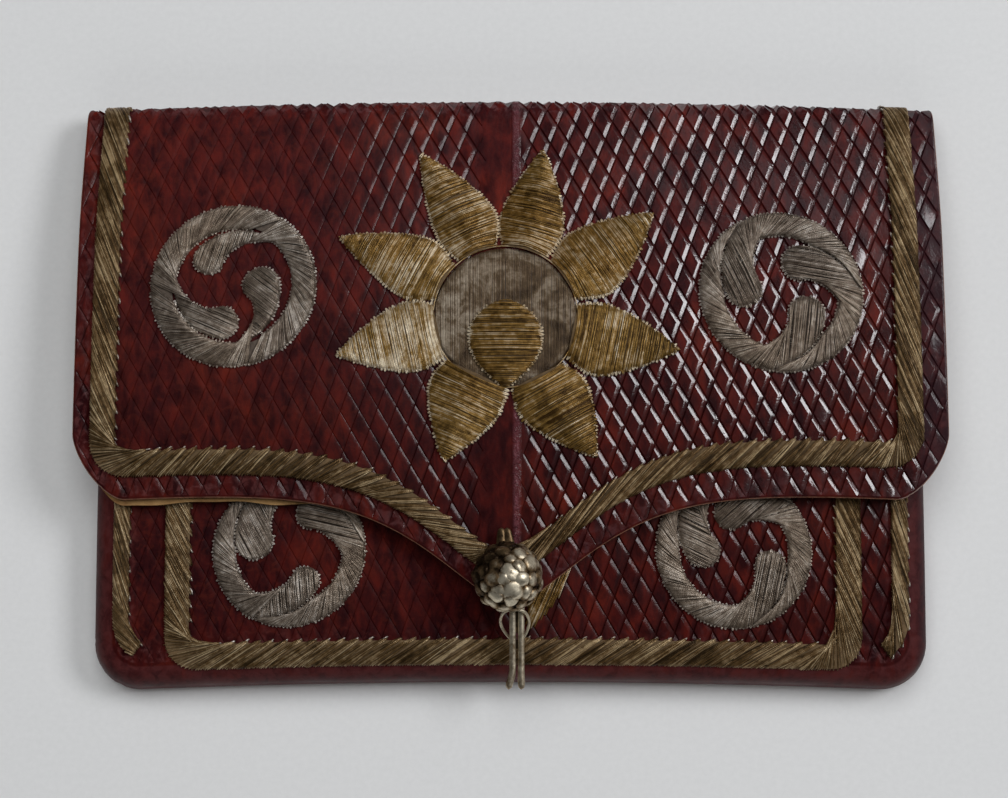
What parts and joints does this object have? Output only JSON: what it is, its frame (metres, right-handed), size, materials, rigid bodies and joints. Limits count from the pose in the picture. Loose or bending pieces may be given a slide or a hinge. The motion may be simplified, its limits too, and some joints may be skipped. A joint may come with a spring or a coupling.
{
  "type": "embroidered leather wallet",
  "caption": "Flat envelope wallet of embossed leather with a swooping flap, padded metal-thread flower, roundels and borders, and a granulated button with a pin clasp.",
  "frame": {"origin": "middle of the wallet's box at its underside, the back panel lying on the surface", "axes": "+X along the wallet's width, +Y towards the top fold, +Z out of the flap"},
  "size_m": [0.1668, 0.1158, 0.0258],
  "materials": {
    "leather": "dark burgundy leather embossed with small lozenges, worn gloss",
    "lining": "thin tan leather, matt",
    "gold_thread": "laid metal thread over card, tarnished gold",
    "silver_thread": "laid metal thread over card, tarnished silver",
    "clasp_metal": "granulated metal, dark in the hollows"
  },
  "bodies": {
    "root": {"cover": "leather", "front_panel": "leather", "flap_lining": "lining", "flap_border": "gold_thread", "flower_petal_1": "gold_thread", "flower_petal_2": "gold_thread", "flower_petal_3": "gold_thread", "flower_petal_4": "gold_thread", "flower_petal_5": "gold_thread", "flower_petal_6": "gold_thread", "flower_petal_7": "gold_thread", "flower_petal_8": "gold_thread", "flower_disc": "silver_thread", "flower_drop": "gold_thread", "flap_roundel_left": "silver_thread", "flap_roundel_right": "silver_thread", "front_roundel_left": "silver_thread", "front_roundel_right": "silver_thread", "front_border": "gold_thread", "front_edge_border_left": "gold_thread", "front_edge_border_right": "gold_thread", "front_leaf": "gold_thread", "clasp_button": "clasp_metal", "clasp_pin": "clasp_metal", "clasp_loop": "clasp_metal"}
  },
  "joints": []
}
